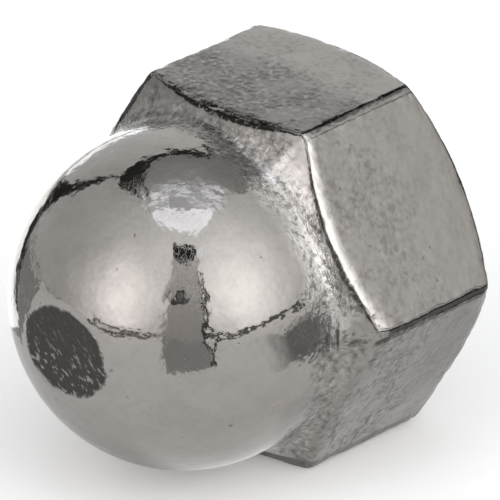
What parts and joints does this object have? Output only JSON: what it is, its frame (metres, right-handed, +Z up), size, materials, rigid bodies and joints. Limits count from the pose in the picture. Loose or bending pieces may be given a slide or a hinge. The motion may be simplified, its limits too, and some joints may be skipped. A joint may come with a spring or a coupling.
{
  "type": "cap nut",
  "caption": "Domed cap nut with a blind threaded bore, a chamfered hexagon and a small flat at the tip of the dome.",
  "frame": {"origin": "on the surface that the nut lies on, under the middle of its length and width", "axes": "the nut lies on a flat: +Z up, -Y towards the tip of the dome, corners of the hexagon on +X and -X; its axis of symmetry is parallel to Y, 8.4 mm above the surface"},
  "size_m": [0.0192, 0.018, 0.0168],
  "materials": {
    "plated_steel": "tumbled and polished nickel plate, slightly pitted, dull at the tip and in the root of the dome"
  },
  "bodies": {
    "root": {"cap_nut": "plated_steel"}
  },
  "joints": []
}
